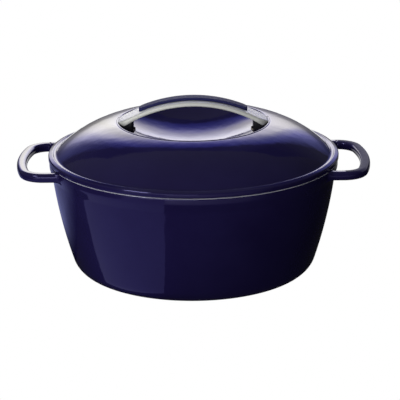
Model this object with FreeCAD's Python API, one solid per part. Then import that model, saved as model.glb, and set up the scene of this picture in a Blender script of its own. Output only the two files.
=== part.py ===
import FreeCAD, Part
import math
import os

# Round enamelled cast iron dutch oven with a lift-off lid. Units are mm.
# +Z is up, the origin is the centre of the pot's base, and the two side handles lie along X.

os.makedirs("parts", exist_ok=True)

# Pot
WALL_TOP_R = 140.4       # outside radius where the wall starts to swell into the rim band
WALL_TOP_Z = 99.5
WALL_ARC_R = 480.0       # outward bow of the wall, as the radius of its arc
WALL_LOW_R = 121.9       # outside radius near the bottom corner
WALL_LOW_Z = 15.0
CORNER_R = 19.8          # bottom corner
WALL_T = 4.5
FLOOR_T = 5.5
RECESS_R = 82.0          # shallow recess in the underside, so that the pot stands on a ring
RECESS_D = 0.8
RIM_R = 143.0
RIM_TOP_Z = 114.2
RIM_LOW_Z = 107.4
RIM_ROUND = 1.6
SWELL_ROUND = 12.0       # rounding at both ends of the slope between wall and rim band

# Side handles, cast in one with the pot
HANDLE_REACH = 175.0
HANDLE_HALF_W = 59.5
HANDLE_TOP_Z = 113.6
HANDLE_T = 9.0
HANDLE_STRUT = 10.0
HANDLE_CORNER_R = 25.0
HANDLE_BOW_R = 170.0     # plan radius of the gently bowed grip bar
HANDLE_ROUND = 3.6       # rounding along the strut's edges
HANDLE_ROOT_X = 112.0    # the struts are drawn from here and trimmed inside the wall

# Lid
SEAT_GAP = 0.3           # gap drawn between the lid and the rim it rests on
FLANGE_R = 143.8
VALLEY_R = 137.0         # groove where the dome meets the raised lip
LIP_TOP_R = 139.6        # crest of the lip, with a bevel falling away outside it
LIP_TOP_Z = 120.7
LIP_TOP_ROUND = 0.8
BEVEL_END_R = 143.2
BEVEL_END_Z = 119.3
BEVEL_END_ROUND = 1.2
LIP_SIDE_Z = 118.3
LIP_SIDE_ROUND = 1.0
DOME_R = 111.2
DOME_CENTRE_R = 57.9
DOME_CENTRE_Z = 40.8
DISH_R = 75.0
DISH_DEPTH = 22.0
BEAD_R = 1.5             # low round bead along the dish's edge
BEAD_IN = 0.2            # the bead's centre line, in from the edge and down from it
BEAD_DOWN = 1.2
VALLEY_ROUND = 2.0
UNDER_ROUND = 4.0        # fillet under the dish's edge
LID_T = 4.2
SPIGOT_R = 134.6         # locating ring that drops inside the pot's mouth
SPIGOT_T = 4.2
SPIGOT_LOW_Z = 108.2
SPIGOT_BEVEL = 0.8
FLANGE_LOW_ROUND = 1.0

# Lid handle, grip pad and fixings
BAR_W = 28.0
BAR_TOP_Z = 172.4
BAR_TOP_R = 132.6        # radius of the bar's upper face
BAR_ARC_HALF_L = 54.5    # beyond this the upper face runs on straight to the tip
BAR_LOW_Z = 168.2
BAR_LOW_R = 126.5        # tighter than the upper face, so the bar thickens towards its ends
BAR_HALF_L = 74.4
BAR_END_R = 10.0         # plan rounding of the bar's corners
BAR_TOP_ROUND = 2.6      # the upper edges are rolled over, the lower ones only eased
BAR_LOW_ROUND = 0.8
PAD_HALF_L = 53.4
PAD_W = 13.0
PAD_T = 2.9
PAD_END_R = 4.0
PAD_EDGE_ROUND = 0.9
FOOT_SEAT_T = 0.6        # thinnest part of the foot, under the bar's tip
FOOT_IN_X = 59.0
FOOT_OUT_X = 74.0
FOOT_W = 27.0
FOOT_CORNER_R = 2.0
FIXING_X = 66.0
THREAD_R = 2.5
THREAD_TOP_Z = 152.6
HOLE_R = 2.9             # clearance hole through the lid and the foot
BOSS_R = 9.0
BOSS_LOW_Z = 136.5
WASHER_R = 6.0
WASHER_T = 1.0
THREAD_GAP = 0.05        # threads are drawn plain
SCREW_HEAD_R = 4.6
SCREW_HEAD_H = 3.0
SCREW_HEAD_ROUND = 1.4
SCREW_TIP_Z = 151.8
SOCKET_R = 1.7
SOCKET_D = 1.8


def vec(x, y, z):
    return FreeCAD.Vector(x, y, z)


def arc(a, mid, b):
    """Arc in the XZ plane through three (r, z) points."""
    points = [vec(p[0], 0, p[1]) for p in (a, mid, b)]
    return Part.Arc(*points).toShape()


def line(a, b):
    return Part.LineSegment(vec(a[0], 0, a[1]), vec(b[0], 0, b[1])).toShape()


def on_circle(centre, radius, angle):
    """Point of a circle in the XZ plane, angle in radians from +r."""
    return (centre[0] + radius * math.cos(angle), centre[1] + radius * math.sin(angle))


def arc_about(centre, radius, a, b):
    """Short arc about a centre from point a to point b."""
    start = math.atan2(a[1] - centre[1], a[0] - centre[0])
    end = math.atan2(b[1] - centre[1], b[0] - centre[0])
    return arc(a, on_circle(centre, radius, (start + end) / 2.0), b)


def height_on(centre, radius, r):
    """Upper height of a circle at radius r from the axis."""
    return centre[1] + math.sqrt(radius ** 2 - (r - centre[0]) ** 2)


def revolve(edges):
    face = Part.Face(Part.Wire(Part.__sortEdges__(edges)))
    return face.revolve(vec(0, 0, 0), vec(0, 0, 1), 360)


def cylinder(x, radius, low, high):
    return Part.makeCylinder(radius, high - low, vec(x, 0, low))


def round_slab(half_l, half_w, corner, low, high):
    """Upright slab with rounded plan corners, centred on the Z axis."""
    slab = Part.makeBox(2 * half_l, 2 * half_w, high - low, vec(-half_l, -half_w, low))
    upright = [e for e in slab.Edges if abs(e.BoundBox.ZLength - (high - low)) < 1e-6]
    return slab.makeFillet(corner, upright)


def wall_centre():
    """Centre of the wall's outer arc, from its two end points."""
    dr = WALL_TOP_R - WALL_LOW_R
    dz = WALL_TOP_Z - WALL_LOW_Z
    half = math.hypot(dr, dz) / 2.0
    back = math.sqrt(WALL_ARC_R ** 2 - half ** 2)
    mid_r = (WALL_TOP_R + WALL_LOW_R) / 2.0
    mid_z = (WALL_TOP_Z + WALL_LOW_Z) / 2.0
    return (mid_r - back * dz / (2 * half), mid_z + back * dr / (2 * half))


def corner_centre(centre, wall_r, corner_r, floor_z):
    """Centre of the corner circle that touches the floor and the wall's arc inside."""
    rise = floor_z + corner_r - centre[1]
    return (centre[0] + math.sqrt((wall_r - corner_r) ** 2 - rise ** 2), floor_z + corner_r)


def corner_touch(centre, corner, corner_r):
    """Where the corner circle meets the wall's arc."""
    angle = math.atan2(corner[1] - centre[1], corner[0] - centre[0])
    return on_circle(corner, corner_r, angle)


def pot_shell():
    centre = wall_centre()
    inner_arc = WALL_ARC_R - WALL_T
    inner_corner_r = CORNER_R - WALL_T
    outer = corner_centre(centre, WALL_ARC_R, CORNER_R, 0.0)
    inner = corner_centre(centre, inner_arc, inner_corner_r, FLOOR_T)
    outer_touch = corner_touch(centre, outer, CORNER_R)
    inner_touch = corner_touch(centre, inner, inner_corner_r)
    mouth_z = RIM_TOP_Z - RIM_ROUND
    mouth_r = centre[0] + math.sqrt(inner_arc ** 2 - (mouth_z - centre[1]) ** 2)
    top = (WALL_TOP_R, WALL_TOP_Z)
    band_low = (RIM_R, RIM_LOW_Z)
    band_high = (RIM_R, RIM_TOP_Z - RIM_ROUND)
    seat_out = (RIM_R - RIM_ROUND, RIM_TOP_Z)
    seat_in = (mouth_r + RIM_ROUND, RIM_TOP_Z)
    mouth = (mouth_r, mouth_z)
    edges = [
        line((0, RECESS_D), (RECESS_R - RECESS_D, RECESS_D)),
        line((RECESS_R - RECESS_D, RECESS_D), (RECESS_R, 0)),
        line((RECESS_R, 0), (outer[0], 0)),
        arc_about(outer, CORNER_R, (outer[0], 0), outer_touch),
        arc_about(centre, WALL_ARC_R, outer_touch, top),
        line(top, band_low),
        line(band_low, band_high),
        arc_about((RIM_R - RIM_ROUND, band_high[1]), RIM_ROUND, band_high, seat_out),
        line(seat_out, seat_in),
        arc_about((seat_in[0], mouth_z), RIM_ROUND, seat_in, mouth),
        arc_about(centre, inner_arc, mouth, inner_touch),
        arc_about(inner, inner_corner_r, inner_touch, (inner[0], FLOOR_T)),
        line((inner[0], FLOOR_T), (0, FLOOR_T)),
        line((0, FLOOR_T), (0, RECESS_D)),
    ]
    shell = revolve(edges)
    slope_ends = ring_edges(shell, WALL_TOP_R, WALL_TOP_Z) + ring_edges(shell, RIM_R, RIM_LOW_Z)
    return shell.makeFillet(SWELL_ROUND, slope_ends)


def handle_outline(inset):
    """Closed plan outline of the loop, from inside the wall out to its bowed grip bar."""
    reach = HANDLE_REACH - inset
    half_w = HANDLE_HALF_W - inset
    corner = HANDLE_CORNER_R - inset
    bow = HANDLE_BOW_R - inset
    centre_x = reach - bow
    side_x = centre_x + math.sqrt((bow - corner) ** 2 - (half_w - corner) ** 2)
    tip = math.atan2(half_w - corner, side_x - centre_x)
    ends = []
    for side in (1, -1):
        touch = vec(centre_x + bow * math.cos(tip), side * bow * math.sin(tip), 0)
        middle = (tip + math.pi / 2.0) / 2.0
        bend_y = half_w - corner + corner * math.sin(middle)
        bend = vec(side_x + corner * math.cos(middle), side * bend_y, 0)
        ends.append((touch, bend, vec(side_x, side * half_w, 0), vec(HANDLE_ROOT_X, side * half_w, 0)))
    (t1, m1, s1, a1), (t2, m2, s2, a2) = ends
    edges = [
        Part.LineSegment(a1, s1).toShape(),
        Part.Arc(s1, m1, t1).toShape(),
        Part.Arc(t1, vec(reach, 0, 0), t2).toShape(),
        Part.Arc(t2, m2, s2).toShape(),
        Part.LineSegment(s2, a2).toShape(),
        Part.LineSegment(a2, a1).toShape(),
    ]
    return Part.Wire(edges)


def side_handle():
    """Flat loop handle on the +X side, before it is joined to the pot."""
    outer = Part.Face(handle_outline(0.0)).extrude(vec(0, 0, HANDLE_T))
    inner = Part.Face(handle_outline(HANDLE_STRUT)).extrude(vec(0, 0, HANDLE_T))
    ring = outer.cut(inner)
    long_edges = []
    for edge in ring.Edges:
        box = edge.BoundBox
        if box.ZLength < 1e-6 and box.XMax > HANDLE_ROOT_X + 1e-3:
            long_edges.append(edge)
    ring = ring.makeFillet(HANDLE_ROUND, long_edges)
    ring.translate(vec(0, 0, HANDLE_TOP_Z - HANDLE_T))
    return ring


def trimming_core():
    """Cone that fills the pot up to the middle of its wall, for trimming the handles' roots."""
    return Part.makeCone(
        WALL_LOW_R - WALL_T / 2.0, WALL_TOP_R - WALL_T / 2.0, RIM_TOP_Z - WALL_LOW_Z,
        vec(0, 0, WALL_LOW_Z))


def pot_body():
    shell = pot_shell()
    right = side_handle().cut(trimming_core())
    left = right.mirror(vec(0, 0, 0), vec(1, 0, 0))
    return shell.fuse([right, left]).removeSplitter()


def dish_centre_z():
    radius = dish_radius()
    rim_z = height_on((DOME_CENTRE_R, DOME_CENTRE_Z), DOME_R, DISH_R)
    return rim_z - DISH_DEPTH + radius


def dish_radius():
    return (DISH_R ** 2 + DISH_DEPTH ** 2) / (2.0 * DISH_DEPTH)


def dish_height(r):
    """Height of the dish's surface at radius r."""
    return dish_centre_z() - math.sqrt(dish_radius() ** 2 - r ** 2)


def crossing(c1, r1, c2, r2):
    """Crossing point of two circles that lies furthest from the axis."""
    gap = math.hypot(c2[0] - c1[0], c2[1] - c1[1])
    along = (r1 ** 2 - r2 ** 2 + gap ** 2) / (2.0 * gap)
    off = math.sqrt(r1 ** 2 - along ** 2)
    ux = (c2[0] - c1[0]) / gap
    uz = (c2[1] - c1[1]) / gap
    foot = (c1[0] + ux * along, c1[1] + uz * along)
    pair = [(foot[0] - uz * off * s, foot[1] + ux * off * s) for s in (1, -1)]
    return max(pair)


def lid_shell():
    dome = (DOME_CENTRE_R, DOME_CENTRE_Z)
    dish = (0.0, dish_centre_z())
    dish_out = dish_radius()
    dish_in = dish_out + LID_T
    dome_in = DOME_R - LID_T
    edge = (DISH_R, height_on(dome, DOME_R, DISH_R))
    valley = (VALLEY_R, height_on(dome, DOME_R, VALLEY_R))
    crest = (LIP_TOP_R, LIP_TOP_Z)
    bevel_end = (BEVEL_END_R, BEVEL_END_Z)
    flange_z = RIM_TOP_Z + SEAT_GAP
    lip_side = (FLANGE_R, LIP_SIDE_Z)
    under = (FLANGE_R - FLANGE_LOW_ROUND, flange_z)
    under_high = (FLANGE_R, flange_z + FLANGE_LOW_ROUND)
    root = (SPIGOT_R, flange_z)
    toe = (SPIGOT_R, SPIGOT_LOW_Z + SPIGOT_BEVEL)
    toe_low = (SPIGOT_R - SPIGOT_BEVEL, SPIGOT_LOW_Z)
    heel = (SPIGOT_R - SPIGOT_T, SPIGOT_LOW_Z)
    spigot_top = (heel[0], height_on(dome, dome_in, heel[0]))
    under_edge = crossing(dome, dome_in, dish, dish_in)
    edges = [
        arc_about(dish, dish_out, (0, dish[1] - dish_out), edge),
        arc_about(dome, DOME_R, edge, valley),
        line(valley, crest),
        line(crest, bevel_end),
        line(bevel_end, lip_side),
        line(lip_side, under_high),
        arc_about((under[0], under_high[1]), FLANGE_LOW_ROUND, under_high, under),
        line(under, root),
        line(root, toe),
        line(toe, toe_low),
        line(toe_low, heel),
        line(heel, spigot_top),
        arc_about(dome, dome_in, spigot_top, under_edge),
        arc_about(dish, dish_in, under_edge, (0, dish[1] - dish_in)),
        line((0, dish[1] - dish_in), (0, dish[1] - dish_out)),
    ]
    return revolve(edges)


def ring_edges(shape, radius, z):
    """Full circles of a turned shape at one radius and height."""
    found = []
    for edge in shape.Edges:
        box = edge.BoundBox
        if box.ZLength < 1e-4 and abs(box.XMax - radius) < 1e-3 and abs(box.ZMin - z) < 1e-3:
            found.append(edge)
    return found


def lid():
    shell = lid_shell()
    dome = (DOME_CENTRE_R, DOME_CENTRE_Z)
    dish = (0.0, dish_centre_z())
    edge_z = height_on(dome, DOME_R, DISH_R)
    valley_z = height_on(dome, DOME_R, VALLEY_R)
    under = crossing(dome, DOME_R - LID_T, dish, dish_radius() + LID_T)
    shell = shell.makeFillet(VALLEY_ROUND, ring_edges(shell, VALLEY_R, valley_z))
    shell = shell.makeFillet(LIP_TOP_ROUND, ring_edges(shell, LIP_TOP_R, LIP_TOP_Z))
    shell = shell.makeFillet(BEVEL_END_ROUND, ring_edges(shell, BEVEL_END_R, BEVEL_END_Z))
    shell = shell.makeFillet(LIP_SIDE_ROUND, ring_edges(shell, FLANGE_R, LIP_SIDE_Z))
    shell = shell.makeFillet(UNDER_ROUND, ring_edges(shell, under[0], under[1]))
    for side in (-1, 1):
        boss = cylinder(side * FIXING_X, BOSS_R, BOSS_LOW_Z, edge_z)
        shell = shell.fuse(boss.cut(dish_ball(-LID_T / 2.0)))
    for side in (-1, 1):
        shell = shell.cut(cylinder(side * FIXING_X, HOLE_R, BOSS_LOW_Z - 1.0, BAR_TOP_Z))
    return shell.fuse(dish_bead()).removeSplitter()


def tangent_end(centre, radius, x, reach):
    """Point at x = reach on the straight line that leaves a circle's top at x."""
    rise = math.sqrt(radius ** 2 - x ** 2)
    return (reach, centre[1] + rise - (abs(reach) - abs(x)) * abs(x) / rise)


def top_edges(apex, radius, arc_half, reach):
    """Arched upper outline with straight tangent ends, and its two end points."""
    centre = (0.0, apex - radius)
    ends = [tangent_end(centre, radius, arc_half, side * reach) for side in (-1, 1)]
    joins = [(side * arc_half, height_on(centre, radius, arc_half)) for side in (-1, 1)]
    edges = [line(ends[0], joins[0]), arc(joins[0], (0.0, apex), joins[1]), line(joins[1], ends[1])]
    return edges, ends


def strip(upper, low_z, low_r, half_l, width, corner):
    """Arched strip along X between an upper outline and a lower arc, with rounded plan corners."""
    edges, ends = upper
    reach = ends[1][0]
    low_centre = (0.0, low_z - low_r)
    low = [(side * reach, height_on(low_centre, low_r, reach)) for side in (-1, 1)]
    outline = edges + [line(ends[1], low[1]), arc(low[1], (0.0, low_z), low[0]), line(low[0], ends[0])]
    face = Part.Face(Part.Wire(Part.__sortEdges__(outline)))
    solid = face.extrude(vec(0, width, 0))
    solid.translate(vec(0, -width / 2.0, 0))
    return solid.common(round_slab(half_l, width / 2.0, corner, DOME_CENTRE_Z, BAR_TOP_Z + BAR_W))


def dish_bead():
    edge_z = height_on((DOME_CENTRE_R, DOME_CENTRE_Z), DOME_R, DISH_R)
    return Part.makeTorus(DISH_R - BEAD_IN, BEAD_R, vec(0, 0, edge_z - BEAD_DOWN))


def dish_ball(shrink):
    """Ball that fills the dish, smaller by a clearance all round."""
    return Part.makeSphere(dish_radius() - shrink, vec(0, 0, dish_centre_z()))


def lid_handle():
    """Arched bar whose thick ends follow the dish and are tapped for the screws."""
    upper = top_edges(BAR_TOP_Z, BAR_TOP_R, BAR_ARC_HALF_L, BAR_HALF_L + BAR_W / 2.0)
    bar = strip(upper, BAR_LOW_Z, BAR_LOW_R, BAR_HALF_L, BAR_W, BAR_END_R)
    bar = bar.makeFillet(BAR_TOP_ROUND, bar_edges(bar, BAR_LOW_ROUND, BAR_W))
    bar = bar.makeFillet(BAR_LOW_ROUND, bar_edges(bar, -0.01, 0.01))
    bar = bar.common(dish_ball(FOOT_SEAT_T)).cut(dish_bead())
    for side in (-1, 1):
        bar = bar.cut(cylinder(side * FIXING_X, THREAD_R, BOSS_LOW_Z, THREAD_TOP_Z))
    return bar


def bar_edges(bar, low, high):
    """Edges whose middle lies between two heights above the bar's lower face, upright ones left out."""
    centre = (0.0, BAR_LOW_Z - BAR_LOW_R)
    found = []
    for edge in bar.Edges:
        box = edge.BoundBox
        mid = edge.valueAt((edge.FirstParameter + edge.LastParameter) / 2.0)
        above = mid.z - height_on(centre, BAR_LOW_R, mid.x)
        if (box.XLength > 1e-6 or box.YLength > 1e-6) and low < above < high:
            found.append(edge)
    return found


def grip_pad():
    upper = top_edges(BAR_TOP_Z + PAD_T, BAR_TOP_R + PAD_T, PAD_HALF_L, PAD_HALF_L + PAD_T)
    pad = strip(upper, BAR_TOP_Z, BAR_TOP_R, PAD_HALF_L, PAD_W, PAD_END_R)
    top = []
    for edge in pad.Edges:
        mid = edge.valueAt((edge.FirstParameter + edge.LastParameter) / 2.0)
        rise = math.hypot(mid.x, mid.z - (BAR_TOP_Z - BAR_TOP_R))
        if rise > BAR_TOP_R + PAD_T * 0.9:
            top.append(edge)
    return pad.makeFillet(PAD_EDGE_ROUND, top)


def foot(side):
    """Wedge between the dish and the bar's end, bored for the screw."""
    half = (FOOT_OUT_X - FOOT_IN_X) / 2.0
    block = round_slab(half, FOOT_W / 2.0, FOOT_CORNER_R, DOME_CENTRE_Z, BAR_TOP_Z)
    block.translate(vec(side * (FOOT_IN_X + half), 0, 0))
    under_bar = Part.makeCylinder(BAR_LOW_R, 2 * BAR_W, vec(0, -BAR_W, BAR_LOW_Z - BAR_LOW_R), vec(0, 1, 0))
    seat = dish_ball(0.0).cut(dish_ball(FOOT_SEAT_T))
    block = block.common(dish_ball(0.0)).common(seat.fuse(under_bar)).cut(dish_bead())
    return block.cut(cylinder(side * FIXING_X, HOLE_R, DOME_CENTRE_Z, BAR_TOP_Z))


def washer(side):
    low = BOSS_LOW_Z - WASHER_T
    disc = cylinder(side * FIXING_X, WASHER_R, low, BOSS_LOW_Z)
    return disc.cut(cylinder(side * FIXING_X, HOLE_R, low - 1.0, BOSS_LOW_Z + 1.0))


def screw(side):
    """Pan head screw with a hexagon socket, driven up from under the lid."""
    head_top = BOSS_LOW_Z - WASHER_T
    head_low = head_top - SCREW_HEAD_H
    head = cylinder(side * FIXING_X, SCREW_HEAD_R, head_low, head_top)
    rim = [e for e in head.Edges if e.BoundBox.ZMax < head_low + 1e-6]
    head = head.makeFillet(SCREW_HEAD_ROUND, rim)
    corners = []
    for k in range(7):
        turn = math.radians(60.0 * k)
        corners.append(vec(side * FIXING_X + SOCKET_R * math.cos(turn), SOCKET_R * math.sin(turn), head_low))
    head = head.cut(Part.Face(Part.makePolygon(corners)).extrude(vec(0, 0, SOCKET_D)))
    shank = cylinder(side * FIXING_X, THREAD_R - THREAD_GAP, head_top, SCREW_TIP_Z)
    return head.fuse(shank).removeSplitter()


def save(name, shape):
    shape.exportStep("parts/" + name + ".step")


save("pot_body", pot_body())
save("lid", lid())
save("lid_handle", lid_handle())
save("grip_pad", grip_pad())
for label, direction in (("left", -1), ("right", 1)):
    save("foot_" + label, foot(direction))
    save("washer_" + label, washer(direction))
    save("screw_" + label, screw(direction))
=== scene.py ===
import math

import bmesh
import bpy
from mathutils import Matrix, Vector


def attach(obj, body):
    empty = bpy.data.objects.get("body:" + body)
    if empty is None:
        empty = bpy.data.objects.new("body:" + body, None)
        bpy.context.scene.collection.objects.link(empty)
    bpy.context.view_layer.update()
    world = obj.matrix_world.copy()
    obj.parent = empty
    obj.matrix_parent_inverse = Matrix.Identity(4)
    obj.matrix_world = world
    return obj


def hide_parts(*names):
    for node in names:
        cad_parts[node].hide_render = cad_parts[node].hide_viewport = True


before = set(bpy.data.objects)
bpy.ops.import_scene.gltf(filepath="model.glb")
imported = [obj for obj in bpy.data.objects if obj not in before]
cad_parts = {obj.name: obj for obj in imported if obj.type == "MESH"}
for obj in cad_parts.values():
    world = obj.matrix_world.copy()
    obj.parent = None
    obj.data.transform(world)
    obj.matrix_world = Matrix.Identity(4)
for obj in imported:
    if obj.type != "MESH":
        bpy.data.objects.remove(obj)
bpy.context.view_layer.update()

# Shapes are in mm in the CAD frame: +Z up, origin under the middle of the pot, side loops along X.
# Outlines are (radius, height) points. The stage, the lights and the camera are in metres.

MM = 0.001
ROUND_STEPS = 288

# Places in a casting's list of materials
# PALE is a painted highlight: a pale band on the rim's outer rounding stands in for the bright line along the
# rim
BLUE, CREAM, PALE = 0, 1, 2

# Pot, the same shape as the CAD part
WALL_TOP = (140.4, 99.5)
WALL_LOW = (121.9, 15.0)
WALL_ARC_R = 480.0
CORNER_R = 19.8
WALL_T = 4.5
FLOOR_T = 5.5
FLOOR_FAN_R = 4.0        # radius of the fan of faces in the middle of the floor and of the recess
RECESS_R = 82.0
RECESS_D = 0.8
RECESS_SLOPE = 1.2       # width of the slope at the recess's edge
RECESS_ROUND = 0.8
RECESS_EDGE_IN = 3.0     # the slope and its roundings stay within these distances of the edge
RECESS_EDGE_OUT = 2.0
RIM_R = 143.0
RIM_TOP = 114.2
RIM_LOW = 107.4
RIM_ROUND = 1.6
SWELL_ROUND = 12.0       # rounding at both ends of the slope between the wall and the rim band
SWELL_BELOW = 4.0        # these roundings stay within this distance below and above the slope
SWELL_ABOVE = 3.0
PALE_FROM = 3            # steps up the rim's outer rounding where the painted highlight starts: a pale band painted along the rim's edge
CREAM_FROM = 5           # steps down its inner rounding where the coat turns cream

# Side loops
REACH = 175.0
HALF_W = 59.5
STRUT = 10.0
BEND_R = 25.0
BOW_R = 170.0
LOOP_TOP = 113.6
LOOP_T = 9.0
LOOP_LOW = LOOP_TOP - LOOP_T
LOOP_ROUND = 3.6
LINE_HALF_W = HALF_W - STRUT / 2     # the same sizes for the strut's centre line
LINE_BEND_R = BEND_R - STRUT / 2
LINE_BOW_R = BOW_R - STRUT / 2
BOW_X = REACH - BOW_R
BEND_X = BOW_X + math.sqrt((LINE_BOW_R - LINE_BEND_R) ** 2 - (LINE_HALF_W - LINE_BEND_R) ** 2)
ROOT_R = 142.0           # distances along a root count outwards from this radius
ROOT_DEPTH = 3.0         # a root starts this far inside it
ROOT_PAST = 10.0         # and ends at a radius this much larger than BEND_X
ROOT_SPREAD = 1.35       # its rings stand closer near the wall
ROOT_STEPS = 18
FILLET = 5.0
FLARE_SIDE = 0.8         # shares of the fillet's swell that go sideways and downwards
FLARE_LOW = 0.3
FLARE_TOP = 0.35         # the most that it rises above the loop's top
STRAIGHT_FROM = 1.0      # where a root's rings start to turn from round to straight, and over what distance
STRAIGHT_OVER = 12.0

# Lid
FLANGE_R = 143.8
FLANGE_LOW = 114.5
FLANGE_ROUND = 1.0
FLANGE_SEAT = 3.0        # how far the lid's upper outline runs in under the flange
LIP_TOP = (139.6, 120.7)
LIP_TOP_ROUND = 0.8
BEVEL_END = (143.2, 119.3)
BEVEL_END_ROUND = 1.2
LIP_SIDE = 118.3
LIP_SIDE_ROUND = 1.0
LIP_SIDE_END = 0.8       # this rounding stays within that distance down the flange's side
VALLEY_R = 137.0
VALLEY_EASE = 2.2
DOME_R = 111.2
DOME_C = (57.9, 40.8)
DISH_R = 75.0
DISH_DEPTH = 22.0
DISH_FAN_R = 3.0
BEAD_R = 1.5
BEAD_IN = 0.2
BEAD_DOWN = 1.2
BEAD_EASE = 0.9          # width over which the bead flows into the dish and the dome
BEAD_FOOT = 0.75
BEAD_FROM = 165.0        # degrees between which the bead follows its own arc
BEAD_TO = 38.0
LID_T = 4.2
UNDER_EASE = 3.2
SPIGOT_R = 134.6
SPIGOT_T = 4.2
SPIGOT_LOW = 108.2
SPIGOT_IN_R = SPIGOT_R - SPIGOT_T
SPIGOT_ROOT = 0.8        # room beside the locating ring for the rounding at its root
SPIGOT_ROOT_ROUND = 0.5
SPIGOT_ROUND = 1.4
SPIGOT_RISE = 6.0        # height at which its own outline ends on the inner side
SPIGOT_TOP_ROUND = 3.0
BOSS_X = 66.0
BOSS_R = 9.0
BOSS_LOW = 136.5
BOSS_ROUND = 1.0
BOSS_SINK = 7.0          # height of a boss's top above the lid's underside at its inner edge
BOSS_STEPS = 64
HOLE_R = 2.9

# Lid handle
BAR_L = 74.4
BAR_W = 28.0
BAR_TOP = 172.4
BAR_TOP_R = 132.6
BAR_ARC_L = 54.5
BAR_LOW = 168.2
BAR_LOW_R = 126.5
BAR_END_R = 10.0
BAR_TOP_ROUND = 2.6
BAR_LOW_ROUND = 0.8
SEAT_T = 0.6
PAD_L = 53.4
PAD_W = 13.0
PAD_T = 2.9
PAD_END_R = 4.0
PAD_ROUND = 0.9
PAD_GAP = 0.3            # shadow gap under the pad's edge
FOOT_IN = 59.0
FOOT_OUT = 74.0
FOOT_W = 27.0
FOOT_CORNER_R = 2.0
FOOT_TOP_ROUND = 0.25
FOOT_LOW_ROUND = 0.2
BAR_STEP = 1.6           # length of a face along the bar and the pad, and along a foot
FOOT_STEP = 0.8


# ---------------------------------------------------------------- outlines

def spread(a, b, n):
    """n + 1 even values from a to b."""
    return [a + (b - a) * k / n for k in range(n + 1)]


def line_points(a, b, n):
    return list(zip(spread(a[0], b[0], n), spread(a[1], b[1], n)))


def arc_points(centre, a, b, n):
    """n + 1 points on the short arc about centre from a to b."""
    start = math.atan2(a[1] - centre[1], a[0] - centre[0])
    end = math.atan2(b[1] - centre[1], b[0] - centre[0])
    if end - start > math.pi:
        end -= 2 * math.pi
    if start - end > math.pi:
        end += 2 * math.pi
    start_r = math.hypot(a[0] - centre[0], a[1] - centre[1])
    end_r = math.hypot(b[0] - centre[0], b[1] - centre[1])
    out = []
    for k in range(n + 1):
        t = k / n
        angle = start + (end - start) * t
        radius = start_r + (end_r - start_r) * t
        out.append((centre[0] + radius * math.cos(angle), centre[1] + radius * math.sin(angle)))
    return out


def curve(a, corner, b, n):
    """n + 1 points of the soft turn from a to b round a corner."""
    a, corner, b = Vector(a), Vector(corner), Vector(b)
    out = []
    for k in range(n + 1):
        t = k / n
        out.append(tuple(a * (1 - t) ** 2 + corner * 2 * t * (1 - t) + b * t * t))
    return out


def rounded(path, radii, steps):
    """Open polyline with its inner corners rounded. radii[i] belongs to path[i]."""
    out = [path[0]]
    for i in range(1, len(path) - 1):
        corner = Vector(path[i])
        before = Vector(path[i - 1]) - corner
        after = Vector(path[i + 1]) - corner
        reach = radii[i] / math.tan(before.angle(after) / 2)
        reach = min(reach, before.length * 0.49, after.length * 0.49)
        out += curve(corner + before.normalized() * reach, corner, corner + after.normalized() * reach, steps)
    out.append(path[-1])
    return out


def height_on(centre, radius, r):
    """Upper height of a circle at radius r from the pot's axis."""
    return centre[1] + math.sqrt(radius ** 2 - (r - centre[0]) ** 2)


def radius_on(centre, radius, z):
    """Outer radius from the pot's axis of a circle at height z."""
    return centre[0] + math.sqrt(radius ** 2 - (z - centre[1]) ** 2)


def crossing(c1, r1, c2, r2):
    """Outer one of the two points where two circles cross."""
    gap = math.hypot(c2[0] - c1[0], c2[1] - c1[1])
    along = (r1 ** 2 - r2 ** 2 + gap ** 2) / (2 * gap)
    off = math.sqrt(r1 ** 2 - along ** 2)
    ux = (c2[0] - c1[0]) / gap
    uz = (c2[1] - c1[1]) / gap
    return max((c1[0] + ux * along - uz * off * s, c1[1] + uz * along + ux * off * s) for s in (1, -1))


# The dish is part of a ball sunk into the dome, and the bead runs along their edge
DOME_EDGE = (DISH_R, height_on(DOME_C, DOME_R, DISH_R))
DISH_BALL_R = (DISH_R ** 2 + DISH_DEPTH ** 2) / (2 * DISH_DEPTH)
DISH_C = (0.0, DOME_EDGE[1] - DISH_DEPTH + DISH_BALL_R)
BEAD_AT = (DISH_R - BEAD_IN, DOME_EDGE[1] - BEAD_DOWN)


def dish_z(r, lift=0.0):
    """Height at radius r of the dish's surface, or of the surface lift mm above it."""
    return DISH_C[1] - math.sqrt(max((DISH_BALL_R - lift) ** 2 - r * r, 0.0))


# ---------------------------------------------------------------- meshes

def build(name, verts, faces, marks=()):
    """Smooth object from mm coordinates. marks are the faces' places in the list of materials."""
    mesh = bpy.data.meshes.new(name)
    mesh.from_pydata([(x * MM, y * MM, z * MM) for x, y, z in verts], [], faces)
    mesh.update()
    for poly, mark in zip(mesh.polygons, marks):
        poly.material_index = mark
    mesh.polygons.foreach_set("use_smooth", [True] * len(mesh.polygons))
    obj = bpy.data.objects.new(name, mesh)
    bpy.context.scene.collection.objects.link(obj)
    face_outwards(mesh)
    return obj


def face_outwards(mesh):
    bm = bmesh.new()
    bm.from_mesh(mesh)
    bmesh.ops.recalc_face_normals(bm, faces=bm.faces)
    bm.to_mesh(mesh)
    bm.free()


def lathe(profile, steps, mark_of):
    """Verts, faces and marks of an outline turned about Z. Points with radius 0 are poles."""
    verts, faces, marks, rows = [], [], [], []
    for r, z in profile:
        count = steps if r else 1
        rows.append(range(len(verts), len(verts) + count))
        for k in range(count):
            angle = 2 * math.pi * k / steps
            verts.append((r * math.cos(angle), r * math.sin(angle), z))
    for i in range(len(rows) - 1):
        a, b = rows[i], rows[i + 1]
        for k in range(steps):
            n = (k + 1) % steps
            if len(a) == 1:
                faces.append((a[0], b[n], b[k]))
            elif len(b) == 1:
                faces.append((a[k], a[n], b[0]))
            else:
                faces.append((a[k], a[n], b[n], b[k]))
            marks.append(mark_of(i))
    return verts, faces, marks


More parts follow.
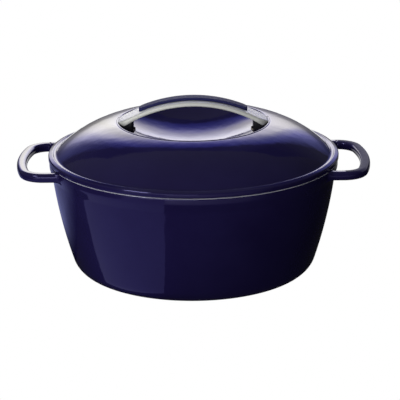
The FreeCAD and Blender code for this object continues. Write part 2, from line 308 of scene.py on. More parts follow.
def merge(parts):
    """Several (verts, faces, marks) as one."""
    verts, faces, marks = [], [], []
    for part_verts, part_faces, part_marks in parts:
        shift = len(verts)
        verts += part_verts
        faces += [tuple(i + shift for i in face) for face in part_faces]
        marks += part_marks
    return verts, faces, marks


# ---------------------------------------------------------------- pot

def wall_centre():
    """Centre of the wall's outward bow, which passes through WALL_LOW and WALL_TOP."""
    dr = WALL_TOP[0] - WALL_LOW[0]
    dz = WALL_TOP[1] - WALL_LOW[1]
    half = math.hypot(dr, dz) / 2
    back = math.sqrt(WALL_ARC_R ** 2 - half ** 2)
    return ((WALL_TOP[0] + WALL_LOW[0]) / 2 - back * dz / (2 * half),
            (WALL_TOP[1] + WALL_LOW[1]) / 2 + back * dr / (2 * half))


def bottom_corner(centre, wall_r, corner_r, floor):
    """Centre of the arc that rounds the wall into the floor, and the point where it touches the wall."""
    rise = floor + corner_r - centre[1]
    corner = (centre[0] + math.sqrt((wall_r - corner_r) ** 2 - rise ** 2), floor + corner_r)
    angle = math.atan2(corner[1] - centre[1], corner[0] - centre[0])
    return corner, (corner[0] + corner_r * math.cos(angle), corner[1] + corner_r * math.sin(angle))


def pot_profile():
    """Outline from the middle of the underside, up the outside, and down to the middle of the floor.

    Also returns the numbers of the points where the painted highlight on the rim starts and where the coat
    turns cream."""
    centre = wall_centre()
    inner_r = WALL_ARC_R - WALL_T
    out_corner, out_touch = bottom_corner(centre, WALL_ARC_R, CORNER_R, 0.0)
    in_corner, in_touch = bottom_corner(centre, inner_r, CORNER_R - WALL_T, FLOOR_T)

    flat_end = (RECESS_R - RECESS_EDGE_IN, RECESS_D)
    ring_start = (RECESS_R + RECESS_EDGE_OUT, 0.0)
    pts = [(0.0, RECESS_D)]
    pts += line_points((FLOOR_FAN_R, RECESS_D), flat_end, 10)
    slope = [flat_end, (RECESS_R - RECESS_SLOPE, RECESS_D), (RECESS_R, 0.0), ring_start]
    pts += rounded(slope, [0, RECESS_ROUND, RECESS_ROUND, 0], 4)[1:]
    pts += line_points(ring_start, (out_corner[0], 0.0), 4)[1:]
    pts += arc_points(out_corner, (out_corner[0], 0.0), out_touch, 22)[1:]

    wall_end_z = WALL_TOP[1] - SWELL_BELOW
    wall_end = (radius_on(centre, WALL_ARC_R, wall_end_z), wall_end_z)
    band_start = (RIM_R, RIM_LOW + SWELL_ABOVE)
    pts += arc_points(centre, out_touch, wall_end, 34)[1:]
    swell = [pts[-1], WALL_TOP, (RIM_R, RIM_LOW), band_start]
    pts += rounded(swell, [0, SWELL_ROUND, SWELL_ROUND, 0], 7)[1:]

    mouth_z = RIM_TOP - RIM_ROUND
    mouth = (radius_on(centre, inner_r, mouth_z), mouth_z)
    seat_out = (RIM_R - RIM_ROUND, RIM_TOP)
    seat_in = (mouth[0] + RIM_ROUND, RIM_TOP)
    pts += line_points(band_start, (RIM_R, mouth_z), 3)[1:]
    # From here up the rim's outer rounding the faces carry the painted highlight
    pale_start = len(pts) - 1 + PALE_FROM
    pts += arc_points((seat_out[0], mouth_z), (RIM_R, mouth_z), seat_out, 8)[1:]
    pts += line_points(seat_out, seat_in, 2)[1:]
    cream_start = len(pts) - 1 + CREAM_FROM
    pts += arc_points((seat_in[0], mouth_z), seat_in, mouth, 8)[1:]

    pts += arc_points(centre, mouth, in_touch, 34)[1:]
    pts += arc_points(in_corner, in_touch, (in_corner[0], FLOOR_T), 18)[1:]
    pts += line_points((in_corner[0], FLOOR_T), (FLOOR_FAN_R, FLOOR_T), 14)[1:]
    pts.append((0.0, FLOOR_T))
    return pts, pale_start, cream_start


def strut_section(half_w, low, high):
    """Rounded rectangle ring of (side offset, height) points."""
    steps = 7
    mid = (low + high) / 2
    half_h = (high - low) / 2
    out = []
    for quarter in range(4):
        side = 1 if quarter in (0, 3) else -1
        up = 1 if quarter in (0, 1) else -1
        for k in range(steps + 1):
            angle = math.pi / 2 * (quarter + k / steps)
            out.append((side * (half_w - LOOP_ROUND) + LOOP_ROUND * math.cos(angle),
                        mid + up * (half_h - LOOP_ROUND) + LOOP_ROUND * math.sin(angle)))
    return out


def plan_arc(centre_x, centre_y, radius, start, turn, steps):
    """Points and outward normals along an arc seen from above, without its first point."""
    out = []
    for k in range(1, steps + 1):
        angle = start + turn * k / steps
        normal = (math.cos(angle), math.sin(angle))
        out.append(((centre_x + radius * normal[0], centre_y + radius * normal[1]), normal))
    return out


def loop_line():
    """Centre line of the right-hand loop between its roots, from front to back."""
    bend_y = LINE_HALF_W - LINE_BEND_R
    tip = math.atan2(bend_y, BEND_X - BOW_X)
    line = plan_arc(BEND_X, -bend_y, LINE_BEND_R, -math.pi / 2, math.pi / 2 - tip, 28)
    line += plan_arc(BOW_X, 0.0, LINE_BOW_R, -tip, 2 * tip, 48)
    line += plan_arc(BEND_X, bend_y, LINE_BEND_R, tip, math.pi / 2 - tip, 28)
    return line


def root_rings(end):
    """Rings from inside the wall out to the straight strut, flared like a fillet where they meet the rim.

    end is -1 for the front root and 1 for the back one."""
    span = BEND_X + ROOT_PAST - (ROOT_R - ROOT_DEPTH)
    rings = []
    for k in range(ROOT_STEPS + 1):
        out = -ROOT_DEPTH + span * (k / ROOT_STEPS) ** ROOT_SPREAD
        swell = 0.0
        if out < FILLET:
            swell = FILLET - math.sqrt(FILLET ** 2 - (FILLET - max(out, 0.0)) ** 2)
        straight = math.sqrt((ROOT_R + out) ** 2 - LINE_HALF_W ** 2)
        blend = min(max((out - STRAIGHT_FROM) / STRAIGHT_OVER, 0.0), 1.0)
        blend = blend * blend * (3 - 2 * blend)
        ring = []
        for off, z in strut_section(STRUT / 2 + swell * FLARE_SIDE, LOOP_LOW - swell * FLARE_LOW,
                                    LOOP_TOP + min(swell, FLARE_TOP)):
            y = end * (LINE_HALF_W + off)
            curved = math.sqrt((ROOT_R + out) ** 2 - y * y)
            ring.append((curved + (straight - curved) * blend, y, z))
        rings.append(ring)
    return rings


def side_loop(side):
    """One side loop as a closed tube. side is 1 for the right one and -1 for the left one."""
    rings = root_rings(-1)
    for (x, y), (nx, ny) in loop_line():
        strut = strut_section(STRUT / 2, LOOP_LOW, LOOP_TOP)
        rings.append([(x + nx * off, y + ny * off, z) for off, z in strut])
    rings += reversed(root_rings(1))
    verts = [(side * x, y, z) for ring in rings for x, y, z in ring]
    size = len(rings[0])
    faces = []
    for i in range(len(rings) - 1):
        for k in range(size):
            n = (k + 1) % size
            faces.append((i * size + k, i * size + n, (i + 1) * size + n, (i + 1) * size + k))
    for i in (0, len(rings) - 1):
        faces.append(tuple(i * size + k for k in range(size)))
    return verts, faces, [BLUE] * len(faces)


def make_pot():
    profile, pale_start, cream_start = pot_profile()

    def mark_of(i):
        if i >= cream_start:
            return CREAM
        return PALE if i >= pale_start else BLUE

    shell = lathe(profile, ROUND_STEPS, mark_of)
    return build("pot", *merge([shell, side_loop(1), side_loop(-1)]))


# ---------------------------------------------------------------- lid

def lid_top():
    """Outline from the middle of the dish over the bead, the dome and the lip to the flange's seat."""
    inner = BEAD_AT[0] - BEAD_R - BEAD_EASE
    outer = BEAD_AT[0] + BEAD_R + BEAD_EASE
    dish_end = (inner, dish_z(inner))
    dome_start = (outer, height_on(DOME_C, DOME_R, outer))
    foot_in = (inner + BEAD_FOOT, dish_z(inner + BEAD_FOOT))
    foot_out = (outer - BEAD_FOOT, height_on(DOME_C, DOME_R, outer - BEAD_FOOT))
    bead = []
    for degrees in spread(BEAD_FROM, BEAD_TO, 16):
        angle = math.radians(degrees)
        bead.append((BEAD_AT[0] + BEAD_R * math.cos(angle), BEAD_AT[1] + BEAD_R * math.sin(angle)))
    pts = [(0.0, dish_z(0.0))]
    pts += [(r, dish_z(r)) for r in spread(DISH_FAN_R, inner, 40)]
    pts += curve(dish_end, foot_in, bead[0], 5)[1:-1]
    pts += bead
    pts += curve(bead[-1], foot_out, dome_start, 5)[1:]

    dome_end = (VALLEY_R - VALLEY_EASE, height_on(DOME_C, DOME_R, VALLEY_R - VALLEY_EASE))
    valley = (VALLEY_R, height_on(DOME_C, DOME_R, VALLEY_R))
    lip_start = ((VALLEY_R + LIP_TOP[0]) / 2, (valley[1] + LIP_TOP[1]) / 2)
    side_end = (FLANGE_R, LIP_SIDE - LIP_SIDE_END)
    pts += arc_points(DOME_C, dome_start, dome_end, 60)[1:]
    pts += curve(dome_end, valley, lip_start, 8)[1:]
    lip = [lip_start, LIP_TOP, BEVEL_END, (FLANGE_R, LIP_SIDE), side_end]
    pts += rounded(lip, [0, LIP_TOP_ROUND, BEVEL_END_ROUND, LIP_SIDE_ROUND, 0], 6)[1:]
    edge = [side_end, (FLANGE_R, FLANGE_LOW), (FLANGE_R - FLANGE_SEAT, FLANGE_LOW)]
    pts += rounded(edge, [0, FLANGE_ROUND, 0], 6)[1:]
    return pts


def lid_underside():
    """Outline from the flange's seat over the locating ring to the middle of the underside."""
    seat_end = (SPIGOT_R + SPIGOT_ROOT, FLANGE_LOW)
    ring_end = (SPIGOT_IN_R, SPIGOT_LOW + SPIGOT_RISE)
    pts = line_points((FLANGE_R - FLANGE_SEAT, FLANGE_LOW), seat_end, 3)[1:]
    ring = [seat_end, (SPIGOT_R, FLANGE_LOW), (SPIGOT_R, SPIGOT_LOW), (SPIGOT_IN_R, SPIGOT_LOW), ring_end]
    pts += rounded(ring, [0, SPIGOT_ROOT_ROUND, SPIGOT_ROUND, SPIGOT_ROUND, 0], 6)[1:]

    roof_r = DOME_R - LID_T
    turn = crossing(DOME_C, roof_r, DISH_C, DISH_BALL_R + LID_T)
    roof_start = (SPIGOT_IN_R, height_on(DOME_C, roof_r, SPIGOT_IN_R))
    roof_end = (turn[0] + UNDER_EASE, height_on(DOME_C, roof_r, turn[0] + UNDER_EASE))
    bulge_start = (turn[0] - UNDER_EASE, dish_z(turn[0] - UNDER_EASE, -LID_T))
    roof = arc_points(DOME_C, roof_start, roof_end, 60)
    pts += rounded([ring_end, roof_start, roof[3]], [0, SPIGOT_TOP_ROUND, 0], 6)[1:]
    pts += roof[4:]
    pts += curve(roof_end, turn, bulge_start, 8)[1:]
    pts += [(r, dish_z(r, -LID_T)) for r in spread(bulge_start[0], DISH_FAN_R, 36)[1:]]
    pts.append((0.0, dish_z(0.0, -LID_T)))
    return pts


def boss(x):
    """Round boss under the lid at x, open at its top."""
    top = dish_z(BOSS_X - BOSS_R, -LID_T) + BOSS_SINK
    profile = [(0.0, BOSS_LOW)]
    profile += rounded([(HOLE_R, BOSS_LOW), (BOSS_R, BOSS_LOW), (BOSS_R, top)], [0, BOSS_ROUND, 0], 6)
    verts, faces, marks = lathe(profile, BOSS_STEPS, lambda i: CREAM)
    return [(vx + x, y, z) for vx, y, z in verts], faces, marks


def make_lid():
    top = lid_top()
    shell = lathe(top + lid_underside(), ROUND_STEPS, lambda i: BLUE if i < len(top) else CREAM)
    return build("lid_shell", *merge([shell, boss(-BOSS_X), boss(BOSS_X)]))


# ---------------------------------------------------------------- bar, pad, feet

def slab_levels(edge_top, edge_low, gap):
    """A slab's rings from top to bottom: (inset, measured from the top or not, distance from that face)."""
    steps = 6
    quarter = [math.pi / 2 * k / steps for k in range(steps + 1)]
    levels = [(edge_top * (1 - math.sin(a)), True, edge_top * (1 - math.cos(a))) for a in quarter]
    if gap:
        levels += [(0.0, False, gap + 0.05), (gap, False, gap), (gap, False, 0.0)]
    else:
        levels += [(edge_low * (1 - math.cos(a)), False, edge_low * (1 - math.sin(a))) for a in quarter]
    return levels


def slab(name, half_l, half_w, corner, top_of, low_of, edge_top, edge_low, cx=0.0, step=BAR_STEP, gap=0.0):
    """Closed strip about x = cx between two height functions, with rounded plan corners and rounded edges.

    gap puts a rebate of that size in place of the lower rounding."""
    corner_steps, cross = 9, 12
    mid_steps = int(2 * (half_l - corner) / step)
    thin = 0.05
    full = edge_top + edge_low + thin

    def long_side(inset):
        """Points of the +Y side from left to right."""
        r = corner - inset
        end_x = half_l - inset - r
        end_y = half_w - inset - r
        turns = [math.pi / 2 * k / corner_steps for k in range(corner_steps + 1)]
        left = [(-end_x - r * math.cos(a), end_y + r * math.sin(a)) for a in turns]
        middle = [(x, half_w - inset) for x in spread(-end_x, end_x, mid_steps)[1:-1]]
        return left + middle + [(-x, y) for x, y in reversed(left)]

    def ring_of(inset):
        side = long_side(inset)
        left, right = side[0], side[-1]
        ring = side + [(right[0], y) for y in spread(right[1], -right[1], cross)[1:-1]]
        ring += [(x, -y) for x, y in reversed(side)]
        return ring + [(left[0], y) for y in spread(-left[1], left[1], cross)[1:-1]]

    verts, rings = [], []
    for inset, from_top, distance in slab_levels(edge_top, edge_low, gap):
        points = ring_of(inset)
        rings.append(range(len(verts), len(verts) + len(points)))
        for x, y in points:
            high = top_of(cx + x, y)
            low = low_of(cx + x, y)
            share = min(max(high - low, thin) / full, 1.0)
            z = high - distance * share if from_top else low + distance * share
            verts.append((cx + x, y, z))

    faces = []
    size = len(rings[0])
    for upper, lower in zip(rings, rings[1:]):
        for k in range(size):
            n = (k + 1) % size
            faces.append((upper[k], upper[n], lower[n], lower[k]))

    columns = len(long_side(0.0))
    for ring, height in ((rings[0], top_of), (rings[-1], low_of)):
        grid = []
        for i in range(columns):
            if i == 0:
                between = [ring[size - k] for k in range(1, cross)]
            elif i == columns - 1:
                between = [ring[i + k] for k in range(1, cross)]
            else:
                x, y, _ = verts[ring[i]]
                between = range(len(verts), len(verts) + cross - 1)
                verts += [(x, inner_y, height(x, inner_y)) for inner_y in spread(y, -y, cross)[1:-1]]
            grid.append([ring[i], *between, ring[2 * columns + cross - 2 - i]])
        for left, right in zip(grid, grid[1:]):
            for k in range(cross):
                faces.append((left[k], left[k + 1], right[k + 1], right[k]))
    return build(name, verts, faces)


def arch_top(x, apex, radius, arc_l):
    """Height of an arch that is round up to arc_l from its middle and runs on straight."""
    centre = apex - radius
    out = abs(x)
    if out <= arc_l:
        return centre + math.sqrt(radius ** 2 - out * out)
    rise = math.sqrt(radius ** 2 - arc_l ** 2)
    return centre + rise - (out - arc_l) * arc_l / rise


def bead_z(r):
    """Top of the bead at radius r, or 0 beside it."""
    off = r - BEAD_AT[0]
    if abs(off) >= BEAD_R:
        return 0.0
    return BEAD_AT[1] + math.sqrt(BEAD_R ** 2 - off * off)


def bar_top(x, y):
    return arch_top(x, BAR_TOP, BAR_TOP_R, BAR_ARC_L)


def bar_low(x, y):
    arc = BAR_LOW - BAR_LOW_R + math.sqrt(BAR_LOW_R ** 2 - x * x)
    r = math.hypot(x, y)
    return max(arc, dish_z(r, SEAT_T), bead_z(r))


def pad_top(x, y):
    return arch_top(x, BAR_TOP + PAD_T, BAR_TOP_R + PAD_T, PAD_L)


def foot_low(x, y):
    r = math.hypot(x, y)
    return max(dish_z(min(r, DISH_R)), bead_z(r))


def make_handle():
    bar = slab("handle_bar", BAR_L, BAR_W / 2, BAR_END_R, bar_top, bar_low, BAR_TOP_ROUND, BAR_LOW_ROUND)
    pad = slab("soft_pad", PAD_L, PAD_W / 2, PAD_END_R, pad_top, bar_top, PAD_ROUND, PAD_GAP, gap=PAD_GAP)
    feet = []
    half = (FOOT_OUT - FOOT_IN) / 2
    for side, label in ((-1, "left"), (1, "right")):
        feet.append(slab("spacer_" + label, half, FOOT_W / 2, FOOT_CORNER_R, bar_low, foot_low,
                         FOOT_TOP_ROUND, FOOT_LOW_ROUND, cx=side * (FOOT_IN + half), step=FOOT_STEP))
    return bar, pad, feet


# ---------------------------------------------------------------- materials

def grey(v, blue=1.0):
    return (v, v, v * blue)


def new_material(name):
    mat = bpy.data.materials.new(name)
    mat.use_nodes = True
    nodes = mat.node_tree.nodes
    nodes.clear()
    out = nodes.new("ShaderNodeOutputMaterial")
    shader = nodes.new("ShaderNodeBsdfPrincipled")
    mat.node_tree.links.new(shader.outputs[0], out.inputs[0])
    return mat, nodes, mat.node_tree.links, shader


def object_coords(nodes):
    return nodes.new("ShaderNodeTexCoord").outputs["Object"]


def noise(nodes, links, coords, scale, detail, rough=0.5):
    tex = nodes.new("ShaderNodeTexNoise")
    tex.inputs["Scale"].default_value = scale
    tex.inputs["Detail"].default_value = detail
    tex.inputs["Roughness"].default_value = rough
    links.new(coords, tex.inputs["Vector"])
    return tex.outputs["Fac"]


def ramp(nodes, links, fac, stops):
    """Colours along fac. stops are (position, colour)."""
    node = nodes.new("ShaderNodeValToRGB")
    while len(node.color_ramp.elements) < len(stops):
        node.color_ramp.elements.new(0.5)
    for element, (position, colour) in zip(node.color_ramp.elements, stops):
        element.position = position
        element.color = (*colour, 1.0)
    links.new(fac, node.inputs["Fac"])
    return node.outputs["Color"]


def bump(nodes, links, height, strength, distance, normal=None):
    node = nodes.new("ShaderNodeBump")
    node.inputs["Strength"].default_value = strength
    node.inputs["Distance"].default_value = distance
    links.new(height, node.inputs["Height"])
    if normal:
        links.new(normal, node.inputs["Normal"])
    return node.outputs["Normal"]


def enamel(name, dark, light, tint):
    """Fused glass over iron: deep colour, glossy, with the faint waves of a sprayed and fired coat."""
    waves = 0.10
    mat, nodes, links, shader = new_material(name)
    coords = object_coords(nodes)
    cloud = noise(nodes, links, coords, 18.0, 3.0)
    links.new(ramp(nodes, links, cloud, [(0.3, dark), (0.75, light)]), shader.inputs["Base Color"])
    haze = noise(nodes, links, coords, 55.0, 4.0)
    links.new(ramp(nodes, links, haze, [(0.3, grey(0.05)), (0.8, grey(0.09))]), shader.inputs["Roughness"])
    wide = bump(nodes, links, noise(nodes, links, coords, 95.0, 1.0), waves, 0.0012)
    fine = bump(nodes, links, noise(nodes, links, coords, 420.0, 2.0), waves * 0.6, 0.0002, wide)
    links.new(fine, shader.inputs["Normal"])
    shader.inputs["IOR"].default_value = 1.5
    shader.inputs["Specular Tint"].default_value = (*tint, 1.0)
    return mat


def steel(name):
    """Bright satin metal, brushed along X."""
    mat, nodes, links, shader = new_material(name)
    stretch = nodes.new("ShaderNodeMapping")
    stretch.inputs["Scale"].default_value = (0.04, 1.0, 1.0)
    links.new(object_coords(nodes), stretch.inputs["Vector"])
    lines = noise(nodes, links, stretch.outputs[0], 2600.0, 4.0, 0.7)
    links.new(ramp(nodes, links, lines, [(0.2, (0.83, 0.84, 0.79)), (0.8, (0.95, 0.96, 0.91))]),
              shader.inputs["Base Color"])
    links.new(ramp(nodes, links, lines, [(0.2, grey(0.46)), (0.8, grey(0.58))]), shader.inputs["Roughness"])
    links.new(bump(nodes, links, lines, 0.12, 0.0001), shader.inputs["Normal"])
    shader.inputs["Metallic"].default_value = 0.35
    return mat


def silicone(name):
    """Matt dark blue pad with a fine grain."""
    mat, nodes, links, shader = new_material(name)
    grain = noise(nodes, links, object_coords(nodes), 900.0, 4.0, 0.7)
    links.new(ramp(nodes, links, grain, [(0.25, (0.026, 0.027, 0.105)), (0.8, (0.040, 0.042, 0.150))]),
              shader.inputs["Base Color"])
    links.new(ramp(nodes, links, grain, [(0.2, grey(0.50)), (0.8, grey(0.66))]), shader.inputs["Roughness"])
    links.new(bump(nodes, links, grain, 0.25, 0.0002), shader.inputs["Normal"])
    shader.inputs["Specular IOR Level"].default_value = 0.05
    return mat


def plastic(name):
    """Black moulded plastic with a fine grain."""
    mat, nodes, links, shader = new_material(name)
    grain = noise(nodes, links, object_coords(nodes), 1400.0, 3.0, 0.6)
    links.new(ramp(nodes, links, grain, [(0.2, (0.006, 0.006, 0.010)), (0.8, (0.013, 0.013, 0.018))]),
              shader.inputs["Base Color"])
    links.new(ramp(nodes, links, grain, [(0.2, grey(0.35)), (0.8, grey(0.5))]), shader.inputs["Roughness"])
    links.new(bump(nodes, links, grain, 0.3, 0.0001), shader.inputs["Normal"])
    return mat


# ---------------------------------------------------------------- pieces

def dress(obj, *materials):
    """Give a piece its materials. Faces keep their marks, which clearing the list would reset."""
    marks = [poly.material_index for poly in obj.data.polygons]
    obj.data.materials.clear()
    for mat in materials:
        obj.data.materials.append(mat)
    for poly, mark in zip(obj.data.polygons, marks):
        poly.material_index = min(mark, len(materials) - 1)


blue = enamel("blue_enamel", dark=(0.013, 0.009, 0.055), light=(0.017, 0.013, 0.070), tint=(0.5, 0.47, 1.0))
cream = enamel("cream_enamel", dark=(0.62, 0.55, 0.43), light=(0.70, 0.64, 0.52), tint=(1.0, 1.0, 1.0))
# Painted highlight: a pale bluish-white coat on the rim's outer rounding stands in for the bright line along
# the rim's edge
pale = enamel("painted_rim_highlight", dark=(0.55, 0.56, 0.70), light=(0.90, 0.90, 1.0), tint=(1.0, 1.0, 1.0))
bar_metal = steel("satin_steel")
pad_rubber = silicone("blue_silicone")
foot_plastic = plastic("black_plastic")
screw_metal = steel("bright_steel")

pot = make_pot()
dress(pot, blue, cream, pale)
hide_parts("pot_body")
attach(pot, "pot")

lid = make_lid()
dress(lid, blue, cream)
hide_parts("lid")
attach(lid, "lid")

bar, pad, feet = make_handle()
dress(bar, bar_metal)
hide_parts("lid_handle")
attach(bar, "lid")

dress(pad, pad_rubber)
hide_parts("grip_pad")
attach(pad, "lid")

for piece, label in zip(feet, ("left", "right")):
    dress(piece, foot_plastic)
    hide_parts("foot_" + label)
    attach(piece, "lid")

for label in ("screw_left", "screw_right", "washer_left", "washer_right"):
    dress(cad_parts[label], screw_metal)


# ---------------------------------------------------------------- stage

def scaled(nodes, links, value, low, high):
    """Value brought from low..high to 0..1."""
    reach = nodes.new("ShaderNodeMapRange")
    reach.inputs["From Min"].default_value = low
    reach.inputs["From Max"].default_value = high
    links.new(value, reach.inputs["Value"])
    return reach.outputs[0]


def gradient(nodes, links, axis, low, high, stops):
    """Colours along one axis of a sheet, from low to high in metres."""
    split = nodes.new("ShaderNodeSeparateXYZ")
    links.new(object_coords(nodes), split.inputs[0])
    return ramp(nodes, links, scaled(nodes, links, split.outputs[axis], low, high), stops)


def multiply(nodes, links, a, b):
    """Product of two colours. b is a socket or a plain colour."""
    product = nodes.new("ShaderNodeMix")
    product.data_type = "RGBA"
    product.blend_type = "MULTIPLY"
    product.inputs["Factor"].default_value = 1.0
    links.new(a, product.inputs["A"])
    if isinstance(b, tuple):
        product.inputs["B"].default_value = (*b, 1.0)
    else:
        links.new(b, product.inputs["B"])
    return product.outputs["Result"]


def emission_material(name, colour_of, strength):
    """Plain light-giving paper. colour_of(nodes, links) returns a colour socket, or None for white."""
    mat = bpy.data.materials.new(name)
    mat.use_nodes = True
    nodes, links = mat.node_tree.nodes, mat.node_tree.links
    nodes.clear()
    out = nodes.new("ShaderNodeOutputMaterial")
    glow = nodes.new("ShaderNodeEmission")
    glow.inputs["Strength"].default_value = strength
    if colour_of:
        links.new(colour_of(nodes, links), glow.inputs["Color"])
    links.new(glow.outputs[0], out.inputs[0])
    return mat


def glow_sheet(name, corners, paper):
    """Sheet that lights the object and is mirrored in it. The camera doesn't see it."""
    mesh = bpy.data.meshes.new(name)
    mesh.from_pydata(corners, [], [(0, 1, 2, 3)])
    obj = bpy.data.objects.new(name, mesh)
    bpy.context.scene.collection.objects.link(obj)
    obj.data.materials.append(paper)
    obj.visible_camera = False
    obj.visible_shadow = False


def flat(from_x, to_x, from_y, to_y, z=0.0):
    return [(from_x, from_y, z), (to_x, from_y, z), (to_x, to_y, z), (from_x, to_y, z)]


def upright(from_x, to_x, y, top):
    return [(from_x, y, 0.0), (to_x, y, 0.0), (to_x, y, top), (from_x, y, top)]


GLOW_X = -0.08
GLOW_Z = 0.40
GLOW_NARROW = 1.25       # how many times higher than wide the glow is


def backdrop_colour(nodes, links):
    """A soft glow on the backdrop, palest in its middle and bluer further out, dimmer near the floor."""
    move = nodes.new("ShaderNodeVectorMath")
    move.operation = "SUBTRACT"
    move.inputs[1].default_value = (GLOW_X, 0.0, GLOW_Z)
    stretch = nodes.new("ShaderNodeVectorMath")
    stretch.operation = "MULTIPLY"
    stretch.inputs[1].default_value = (GLOW_NARROW, 0.0, 1.0)
    reach = nodes.new("ShaderNodeVectorMath")
    reach.operation = "LENGTH"
    links.new(object_coords(nodes), move.inputs[0])
    links.new(move.outputs[0], stretch.inputs[0])
    links.new(stretch.outputs[0], reach.inputs[0])
    glow = ramp(nodes, links, reach.outputs["Value"], [
        (0.18, (0.90, 0.88, 0.96)), (0.38, (0.62, 0.60, 0.70)), (0.53, (0.46, 0.445, 0.62)),
        (0.60, (0.27, 0.265, 0.44)), (0.70, (0.16, 0.16, 0.34)), (0.77, (0.11, 0.115, 0.27)),
        (0.88, (0.085, 0.09, 0.23)), (0.98, (0.04, 0.04, 0.07)), (1.0, (0.03, 0.03, 0.04))])
    tint = gradient(nodes, links, "Z", 0.5, 1.3, [
        (0.0, grey(1.0)), (0.35, (0.95, 0.95, 1.0)), (0.54, (0.76, 0.76, 1.0)), (0.75, (0.60, 0.60, 1.0)),
        (1.0, (0.5, 0.5, 1.0))])
    low = gradient(nodes, links, "Z", 0.0, 0.5, [
        (0.0, grey(0.05)), (0.4, grey(0.18)), (0.57, grey(0.55)), (0.9, grey(1.0))])
    sides = gradient(nodes, links, "X", -0.6, 0.6, [
        (0.0, grey(0.4)), (0.10, grey(0.77)), (0.19, grey(1.15, 0.85)), (0.275, grey(0.98, 0.80)),
        (0.375, grey(0.86, 0.95)), (0.61, grey(0.88)), (0.775, grey(1.3, 0.72)), (0.875, grey(0.85, 1.05)),
        (1.0, grey(0.5))])
    return multiply(nodes, links, multiply(nodes, links, glow, tint), multiply(nodes, links, low, sides))


def floor_behind_colour(nodes, links):
    away = gradient(nodes, links, "Y", 0.25, 0.75, [(0.0, grey(0.0)), (0.5, grey(0.5)), (1.0, grey(1.0))])
    along = gradient(nodes, links, "X", -0.5, 0.5, [
        (0.0, grey(0.0)), (0.3, grey(0.8)), (0.5, grey(1.0)), (0.8, grey(0.6)), (1.0, grey(0.0))])
    return multiply(nodes, links, away, along)


def side_glow_colour(nodes, links):
    away = gradient(nodes, links, "Y", 0.0, 0.10, [(0.0, grey(0.0)), (1.0, grey(1.0))])
    along = gradient(nodes, links, "X", -0.5, -0.13, [
        (0.0, grey(0.0)), (0.3, grey(1.0)), (0.85, grey(1.0)), (1.0, grey(0.0))])
    return multiply(nodes, links, multiply(nodes, links, away, along), (0.45, 0.48, 1.0))


def card_colour(nodes, links):
    return gradient(nodes, links, "Y", -0.75, -0.05, [
        (0.0, (0.12, 0.12, 0.18)), (0.55, (0.30, 0.29, 0.44)), (0.85, (0.32, 0.32, 0.52)),
        (1.0, (0.30, 0.30, 0.50))])


def floor_front_colour(nodes, links):
    along = gradient(nodes, links, "X", -0.9, 0.9, [
        (0.0, grey(1.6)), (0.35, grey(1.4)), (0.45, grey(0.8)), (0.6, grey(0.45)), (1.0, grey(0.35))])
    away = gradient(nodes, links, "Y", -0.6, -0.3, [(0.0, grey(1.0)), (1.0, grey(0.0))])
    return multiply(nodes, links, along, away)


def make_stage():
    glow = emission_material("backdrop_glow", backdrop_colour, strength=5.0)
    glow_sheet("backdrop", upright(from_x=-1.0, to_x=1.0, y=1.0, top=1.6), glow)
    far = emission_material("floor_behind_glow", floor_behind_colour, strength=1.6)
    glow_sheet("floor_behind", flat(from_x=-0.5, to_x=0.5, from_y=0.25, to_y=0.98), far)
    side = emission_material("side_glow", side_glow_colour, strength=0.5)
    glow_sheet("side_card", flat(from_x=-0.5, to_x=-0.13, from_y=0.0, to_y=0.4), side)
    # Lies just above the right-hand loop, so that the loop's top mirrors one even light
    dim = emission_material("loop_flag_glow", None, strength=0.42)
    glow_sheet("loop_flag", flat(from_x=0.149, to_x=0.21, from_y=-0.05, to_y=0.12, z=0.122), dim)
    near = emission_material("floor_front_glow", floor_front_colour, strength=1.1)
    glow_sheet("floor_front", flat(from_x=-0.9, to_x=0.9, from_y=-1.0, to_y=-0.30, z=-0.002), near)
    card = emission_material("card_glow", card_colour, strength=1.0)
    corners = [(-0.034, -0.122, 0), (-0.097, -0.080, 0), (-0.420, -0.020, 0), (-0.270, -0.750, 0)]
    glow_sheet("front_card", corners, card)


WORLD_FILL = 0.30


def make_world():
    """White where the camera sees it. For all else a soft fill, brighter above and to the left."""
    world = bpy.data.worlds.new("studio")
    bpy.context.scene.world = world
    world.use_nodes = True
    nodes, links = world.node_tree.nodes, world.node_tree.links
    nodes.clear()
    out = nodes.new("ShaderNodeOutputWorld")
    seen = nodes.new("ShaderNodeBackground")
    seen.inputs["Color"].default_value = (1.0, 1.0, 1.0, 1.0)
    lit = nodes.new("ShaderNodeBackground")
    split = nodes.new("ShaderNodeSeparateXYZ")
    links.new(nodes.new("ShaderNodeTexCoord").outputs["Generated"], split.inputs[0])
    height = ramp(nodes, links, scaled(nodes, links, split.outputs["Z"], -1.0, 1.0), [
        (0.0, grey(0.05)), (0.48, grey(0.06)), (0.54, grey(0.3)), (0.8, grey(0.6)), (1.0, grey(1.0))])
    across = ramp(nodes, links, scaled(nodes, links, split.outputs["X"], -1.0, 1.0), [
        (0.0, grey(1.0)), (0.5, grey(0.75)), (1.0, grey(0.3))])
    links.new(multiply(nodes, links, height, across), lit.inputs["Color"])
    lit.inputs["Strength"].default_value = WORLD_FILL
    mix = nodes.new("ShaderNodeMixShader")
    links.new(nodes.new("ShaderNodeLightPath").outputs["Is Camera Ray"], mix.inputs[0])
    links.new(lit.outputs[0], mix.inputs[1])
    links.new(seen.outputs[0], mix.inputs[2])
    links.new(mix.outputs[0], out.inputs[0])


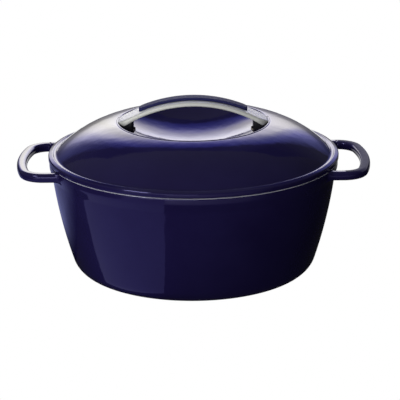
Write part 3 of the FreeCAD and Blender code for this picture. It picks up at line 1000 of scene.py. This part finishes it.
# ---------------------------------------------------------------- lights and camera

def area(name, place, aim, width, height, watts):
    """Soft rectangular light that the camera doesn't see."""
    data = bpy.data.lights.new(name, "AREA")
    data.shape = "RECTANGLE"
    data.size = width
    data.size_y = height
    data.energy = watts
    obj = bpy.data.objects.new(name, data)
    bpy.context.scene.collection.objects.link(obj)
    obj.location = place
    obj.rotation_euler = (Vector(aim) - Vector(place)).to_track_quat("-Z", "Y").to_euler()
    obj.visible_camera = False
    return obj


def make_lights():
    area("softbox_front", place=(-0.75, -2.3, 0.38), aim=(0, 0, 0.10), width=1.9, height=0.75, watts=16.0)
    area("softbox_left", place=(-1.3, -1.1, 1.5), aim=(0, 0, 0.13), width=0.6, height=0.6, watts=9.0)
    under = area("under_fill", place=(0, 0, -1.0), aim=(0, 0.001, 0), width=1.2, height=1.2, watts=2.0)
    under.visible_glossy = False


CAM_DISTANCE = 2.0
CAM_ELEVATION = math.radians(17.45)
CAM_ROLL = math.radians(-0.43)
CAM_LENS = 180.0
AIM_RIGHT = 0.0061
AIM_UP = -0.0018
TARGET = Vector((0.0, 0.0, 0.070))


def make_camera():
    data = bpy.data.cameras.new("camera")
    data.sensor_width = 36.0
    data.lens = CAM_LENS
    data.clip_end = 50.0
    cam = bpy.data.objects.new("camera", data)
    bpy.context.scene.collection.objects.link(cam)
    back = Vector((0.0, -math.cos(CAM_ELEVATION), math.sin(CAM_ELEVATION)))
    place = TARGET + back * CAM_DISTANCE
    turn = (-back).to_track_quat("-Z", "Y").to_matrix()
    right = turn @ Vector((1, 0, 0))
    up = turn @ Vector((0, 1, 0))
    aim = TARGET + right * AIM_RIGHT + up * AIM_UP
    look = (aim - place).to_track_quat("-Z", "Y").to_matrix()
    cam.matrix_world = Matrix.Translation(place) @ (look @ Matrix.Rotation(CAM_ROLL, 3, "Z")).to_4x4()
    bpy.context.scene.camera = cam


make_stage()
make_world()
make_lights()
make_camera()
scene = bpy.context.scene
scene.view_settings.view_transform = "Standard"
scene.view_settings.look = "None"
